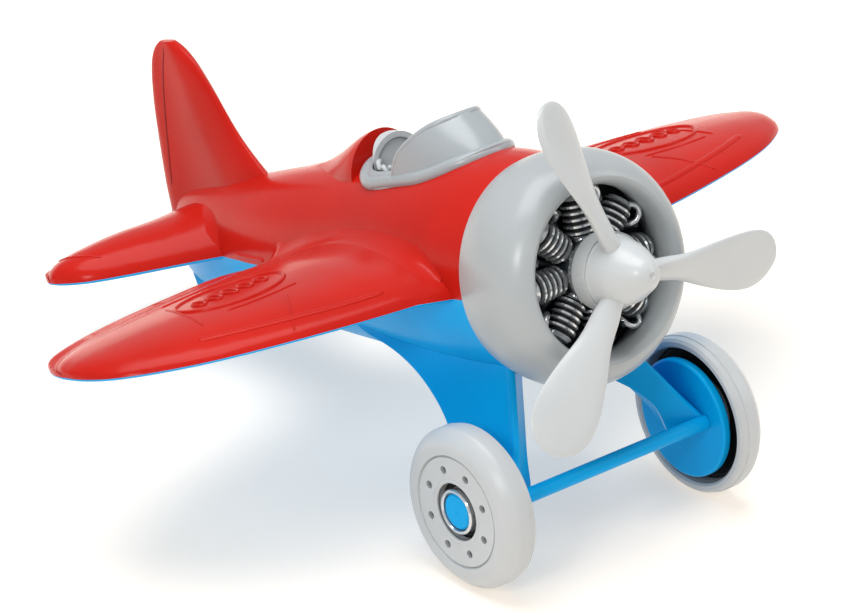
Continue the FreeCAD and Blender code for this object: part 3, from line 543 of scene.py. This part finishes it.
OVAL_PLACES = {-1: (69.5, 80.3), 1: (76.0, 77.3)}
SLAT_LINE = [(46.0, 44.2), (58.0, 46.6), (72.0, 50.4), (84.0, 54.4), (96.0, 59.6)]
TAIL_TIP_LINE = [(44.5, 178.6), (49.0, 186.0), (49.6, 193.5)]
TAIL_RIB_LINE = [(22.0, 200.4), (31.0, 199.6), (40.0, 197.6)]
RUDDER_LINE = [(189.7, 55.0), (193.2, 45.5), (195.6, 34.0), (196.8, 24.0), (197.6, 14.0)]
SEAM_STRIP = [(134.0, 0.6), (142.0, 0.6), (150.0, 0.7)]
for side, word in ((-1, "left"), (1, "right")):
    oval_x, oval_y = OVAL_PLACES[side]
    ring = [(side * x, y) for x, y in oval(oval_x, oval_y, 16.5, 11.5)]
    red_bead("wing_oval_" + word, ring, 1.1, 0.55, closed=True)
    # a plain row of pips fills the oval
    for k in range(5):
        cx = oval_x - 10.4 + 5.2 * k
        half = 3.4 - 0.45 * abs(k - 2)
        pip = [(side * x, y) for x, y in oval(cx, oval_y, 1.5, half, 24)]
        red_bead("wing_pip_%d_%s" % (k, word), pip, 0.9, 0.6, closed=True)
    for k in range(4):
        cx = oval_x - 7.8 + 5.2 * k
        dot = [(side * x, y) for x, y in oval(cx, oval_y + 0.2, 0.55, 0.55, 12)]
        red_bead("wing_dot_%d_%s" % (k, word), dot, 0.9, 0.6, closed=True)
    lines = {
        "inner": [(64.7, 61.3), (69.8, 53.5), (74.5, 46.6)],
        "outer": [(83.8, 91.0), (87.4, 77.5), (90.3, 64.3)],
        "fore": [(oval_x - 12.0, oval_y - 14.2), (oval_x, oval_y - 15.0),
                 (oval_x + 11.0, oval_y - 13.6)],
        "aft": [(oval_x - 22.0, oval_y + 17.0), (oval_x - 6.0, oval_y + 18.6),
                (oval_x + 12.0, oval_y + 16.0)],
    }
    for label, points in lines.items():
        red_bead("wing_line_%s_%s" % (label, word), [(side * x, y) for x, y in points], 0.7, 0.32)
    red_bead("wing_slat_" + word, [(side * x, y) for x, y in SLAT_LINE], 2.2, 0.4, count=60)
    tail_tip = [(side * x, y) for x, y in TAIL_TIP_LINE]
    red_bead("tail_tip_line_" + word, tail_tip, 0.7, 0.3, count=24)
    tail_rib = [(side * x, y) for x, y in TAIL_RIB_LINE]
    red_bead("tail_rib_" + word, tail_rib, 1.6, 0.5, count=30)


def side_bead(name, side, pairs, width, height, finish=RED, count=40):
    path, normals = [], []
    for y, z in [p[:2] for p in smooth_path(pairs, count)]:
        where, normal = red_skin.side(side, y, z)
        if where is None:
            continue
        path.append(where)
        normals.append(normal)
    return bead(name, path, normals, width, height, finish, "airframe")


for side, word in ((-1, "left"), (1, "right")):
    # the rudder line is a nearly flat dark red strip: painted shade for a groove
    side_bead("rudder_line_" + word, side, RUDDER_LINE, 0.8, 0.12, RED_GROOVE_SHADE)
    side_bead("seam_strip_" + word, side, SEAM_STRIP, 1.5, 0.5)

# web that joins the two halves of the tailplane behind the end of the fuselage
WEB_HALF = 1.7
top_line, belly_line = [], []
for y in np.linspace(199.0, 207.4, 14):
    crown, _ = red_skin.top(WEB_HALF, y)
    belly, _ = blue_skin.along((WEB_HALF, y, -60), (0, 0, 1))
    if crown is not None and belly is not None:
        top_line.append((y, crown.z - 0.03))
        belly_line.append((y, belly.z + 0.03))
outline = top_line + belly_line[::-1]
corners = [level(x, y, z) for x in (-WEB_HALF, WEB_HALF) for y, z in outline]
count = len(outline)
skirt = [(k, (k + 1) % count, (k + 1) % count + count, k + count) for k in range(count)]
piece("tailplane_web", corners, skirt, RED, "airframe", smooth=False)

# ------------------------------------------------------------------ windscreen rim and cockpit

SCREEN_STATIONS = [(20.0, 15.3, 29.5), (26.0, 15.1, 28.0), (31.0, 14.6, 25.8), (36.0, 13.4, 21.6),
                   (40.5, 11.4, 17.0), (44.5, 8.2, 10.6)]
SCREEN_CENTRE = 72.0
SCREEN_EDGE = [(74.0, 18.0), (73.2, 26.0), (70.6, 32.0), (66.0, 36.0), (60.0, 39.6), (52.0, 42.0)]


def screen_half(z, column):
    zs = [s[0] for s in SCREEN_STATIONS]
    return float(np.interp(z, zs, [s[column] for s in SCREEN_STATIONS]))


def screen_rim():
    edge = smooth_path([(y, z, 0) for y, z in SCREEN_EDGE], 160)
    half = []
    for y, z, _ in edge:
        a, b = screen_half(z, 1) - 0.85, screen_half(z, 2) - 0.85
        share = 1 - ((y - SCREEN_CENTRE) / b) ** 2
        if share <= 0:
            break
        if z > 24.5:
            half.append((a * math.sqrt(share), y, z))
    return [(-x, y, z) for x, y, z in half] + [p for p in reversed(half)]


rim = smooth_path(screen_rim(), 120)
tube("windscreen_rim", rim, 1.05, COCKPIT_GREY, "airframe", sides=12)

DECK_STATIONS = [(32.5, 29.2, 29.4), (52.0, 29.2, 30.8), (75.0, 27.4, 28.9), (100.0, 24.3, 25.8)]


def deck_height(x, y):
    ys = [s[0] for s in DECK_STATIONS]
    half = float(np.interp(y, ys, [s[1] for s in DECK_STATIONS]))
    top = float(np.interp(y, ys, [s[2] for s in DECK_STATIONS]))
    return top * math.sqrt(1 - (x / half) ** 2)


def lip_path(inset, lift, count=120):
    """Line round the cockpit opening, lying on the deck."""
    out = []
    for k in range(count):
        turn = 2 * math.pi * k / count
        x = (15.0 - inset) * math.sin(turn)
        y = 66.0 - (20.0 - inset) * math.cos(turn)
        if math.cos(turn) < 0:
            y = 82.0 - (14.0 - inset) * math.cos(turn)
        out.append((x, y, deck_height(x, y) + lift))
    return out


tube("cockpit_lip", lip_path(1.0, 0.25), 2.15, COCKPIT_GREY, "airframe",
     sides=16, closed=True)

# small clips that hold the seat back, standing just inside the lip
for side, word in ((-1, "left"), (1, "right")):
    clip = [(side * 10.4, 79.2, 28.0), (side * 10.2, 81.2, 25.0), (side * 9.8, 83.4, 27.4),
            (side * 9.2, 85.6, 24.8), (side * 8.2, 87.6, 27.6), (side * 6.6, 89.0, 27.8)]
    tube("seat_clip_" + word, smooth_path(clip, 36), 0.72, WHEEL_GREY, "airframe",
         sides=10)
    # black tube behind each clip: painted shade for the gap under the clip
    shade = [(side * 11.4, 81.2, 25.2), (side * 10.2, 84.6, 25.0), (side * 8.2, 87.6, 24.8)]
    tube("seat_clip_painted_shade_" + word, smooth_path(shade, 20), 1.5, BLACK_AND_SHADE, "airframe",
         sides=10)

# ------------------------------------------------------------------ engine

CYLINDER_Y = 15.5

for k in range(8):
    turn = 2 * math.pi * k / 8
    out = Vector((math.sin(turn), 0, math.cos(turn)))
    across = Vector((math.cos(turn), 0, -math.sin(turn)))
    here = Vector((0, CYLINDER_Y, 0))

    def spot(radius, sideways, fore):
        return here + out * radius + across * sideways + Vector((0, -fore, 0))

    # short hooked pipe at the edge of the mouth between two cylinders
    hook = smooth_path([spot(21.0, 2.6, 1.0), spot(21.6, 4.4, 2.2), spot(20.6, 6.2, 2.4),
                        spot(18.6, 6.8, 2.0), spot(17.0, 6.2, 0.8), spot(16.4, 5.4, -1.2)], 26)
    tube("intake_hook_%d" % k, hook, 0.8, BRIGHT_GREY, "airframe", sides=10)

    # black sleeve under the fins: painted shade standing in for the shadow in the gaps between the
    # bright fins
    turned("fin_shadow_sleeve_%d" % k, [(9.6, 3.0), (9.8, 3.52), (19.4, 3.52), (19.6, 3.0)],
           spot(0, 0, 0), out, BLACK_AND_SHADE, "airframe", steps=32)
    turned("head_cap_%d" % k,
           [(-0.2, 0.01), (-0.2, 3.3), (0.4, 3.5), (0.9, 2.9), (1.1, 1.6), (1.15, 0.01)],
           spot(19.9, 0, 0), out, BRIGHT_GREY, "airframe", steps=32)

# ------------------------------------------------------------------ wheels

WHEEL_Y, WHEEL_Z = 31.8, -54.66
DIMPLE_RING = 11.8

for side, word in ((-1, "left"), (1, "right")):
    centre = (0, WHEEL_Y, WHEEL_Z)
    body = word + "_wheel"
    turned("wheel_inner_ring_" + word,
           [(45.0, 7.95), (45.85, 8.15), (46.05, 8.7), (45.85, 9.25), (45.3, 9.35)],
           centre, (side, 0, 0), WHEEL_GREY, body, steps=96)
    turned("hub_shadow_ring_" + word, [(43.02, 6.35), (43.3, 6.35), (43.3, 8.1), (43.02, 8.1)],
           centre, (side, 0, 0), BLACK_AND_SHADE, body, steps=64)
    # black ring inside the back of the wheel: painted shade for the deep shadow in the wheel's
    # hollow
    turned("wheel_back_painted_shade_" + word,
           [(40.9, 18.2), (41.3, 17.9), (42.9, 10.3), (43.1, 10.3), (42.1, 19.0), (40.9, 19.1)],
           centre, (side, 0, 0), BLACK_AND_SHADE, body, steps=96)
    # dark discs at the bottoms of the eight dimples: painted shade in the small recesses
    for k in range(8):
        turn = math.radians(45.0 * k + 10)
        spot_centre = (0, WHEEL_Y + DIMPLE_RING * math.sin(turn),
                       WHEEL_Z + DIMPLE_RING * math.cos(turn))
        turned("dimple_painted_shade_%d_%s" % (k, word),
               [(44.52, 0.01), (44.62, 0.01), (44.62, 1.05), (44.52, 1.05)],
               spot_centre, (side, 0, 0), DARK_GREY_AND_SHADE, body, steps=20)

# ------------------------------------------------------------------ floor, light and camera

floor_mesh = bpy.data.meshes.new("studio_floor")
floor_corners = [(-30, -30, 0), (30, -30, 0), (30, 30, 0), (-30, 30, 0)]
floor_mesh.from_pydata(floor_corners, [], [(0, 1, 2, 3)])
floor = bpy.data.objects.new("studio_floor", floor_mesh)
bpy.context.scene.collection.objects.link(floor)
paper = bpy.data.materials.new("pale_paper")
paper.use_nodes = True
paper_shader = paper.node_tree.nodes["Principled BSDF"]
paper_shader.inputs["Roughness"].default_value = 0.8
paper_shader.inputs["Specular IOR Level"].default_value = 0.2
paper_shader.inputs["Emission Color"].default_value = (1.0, 0.925, 0.825, 1)
paper_shader.inputs["Emission Strength"].default_value = 0.46
fibre = node(paper.node_tree, "ShaderNodeTexNoise")
fibre.inputs["Scale"].default_value = 60.0
fibre_tint = node(paper.node_tree, "ShaderNodeMix", data_type="RGBA")
fibre_tint.inputs["A"].default_value = (0.70, 0.645, 0.59, 1)
fibre_tint.inputs["B"].default_value = (0.68, 0.625, 0.575, 1)
wire(paper.node_tree, [(fibre.outputs["Fac"], fibre_tint.inputs["Factor"]),
                       (fibre_tint.outputs["Result"], paper_shader.inputs["Base Color"])])
floor.data.materials.append(paper)

world = bpy.data.worlds.new("studio_air")
bpy.context.scene.world = world
world.use_nodes = True
world.node_tree.nodes["Background"].inputs["Color"].default_value = (1.0, 1.0, 1.0, 1)
world.node_tree.nodes["Background"].inputs["Strength"].default_value = 0.58


def lamp(name, where, target, size, power, size_y=None):
    light = bpy.data.lights.new(name, "AREA")
    light.shape = "RECTANGLE"
    light.size = size
    light.size_y = size_y or size
    light.energy = power
    made = bpy.data.objects.new(name, light)
    bpy.context.scene.collection.objects.link(made)
    made.location = where
    aim = (Vector(target) - Vector(where)).normalized()
    made.rotation_euler = aim.to_track_quat("-Z", "Y").to_euler()
    return made


lamp("ceiling_box", (-0.1, 0.15, 1.5), (0, 0, 0.05), 1.2, 21.0)
lamp("left_front_box", (-1.3, -0.7, 0.95), (0, 0, 0.07), 0.35, 6.5)
lamp("right_strip", (1.1, -0.9, 0.8), (0.05, -0.02, 0.08), 0.25, 3.0, 0.9)

LOOK = Vector((-0.5656386, -0.6810029, 0.4650677))
RIGHT = Vector((0.7692557, -0.6389411, 0.0))
UP = Vector((0.2971509, 0.3577560, 0.8852751))
camera_data = bpy.data.cameras.new("studio_camera")
camera_data.sensor_width = 36.0
camera_data.lens = 229.382
camera_data.clip_start = 0.05
camera = bpy.data.objects.new("studio_camera", camera_data)
bpy.context.scene.collection.objects.link(camera)
turned_frame = Matrix((RIGHT, UP, LOOK)).transposed().to_4x4()
camera.matrix_world = Matrix.Translation(Vector((-0.848172, -1.034535, 0.738736))) @ turned_frame
bpy.context.scene.camera = camera
bpy.context.scene.view_settings.view_transform = "Standard"
bpy.context.scene.view_settings.look = "None"
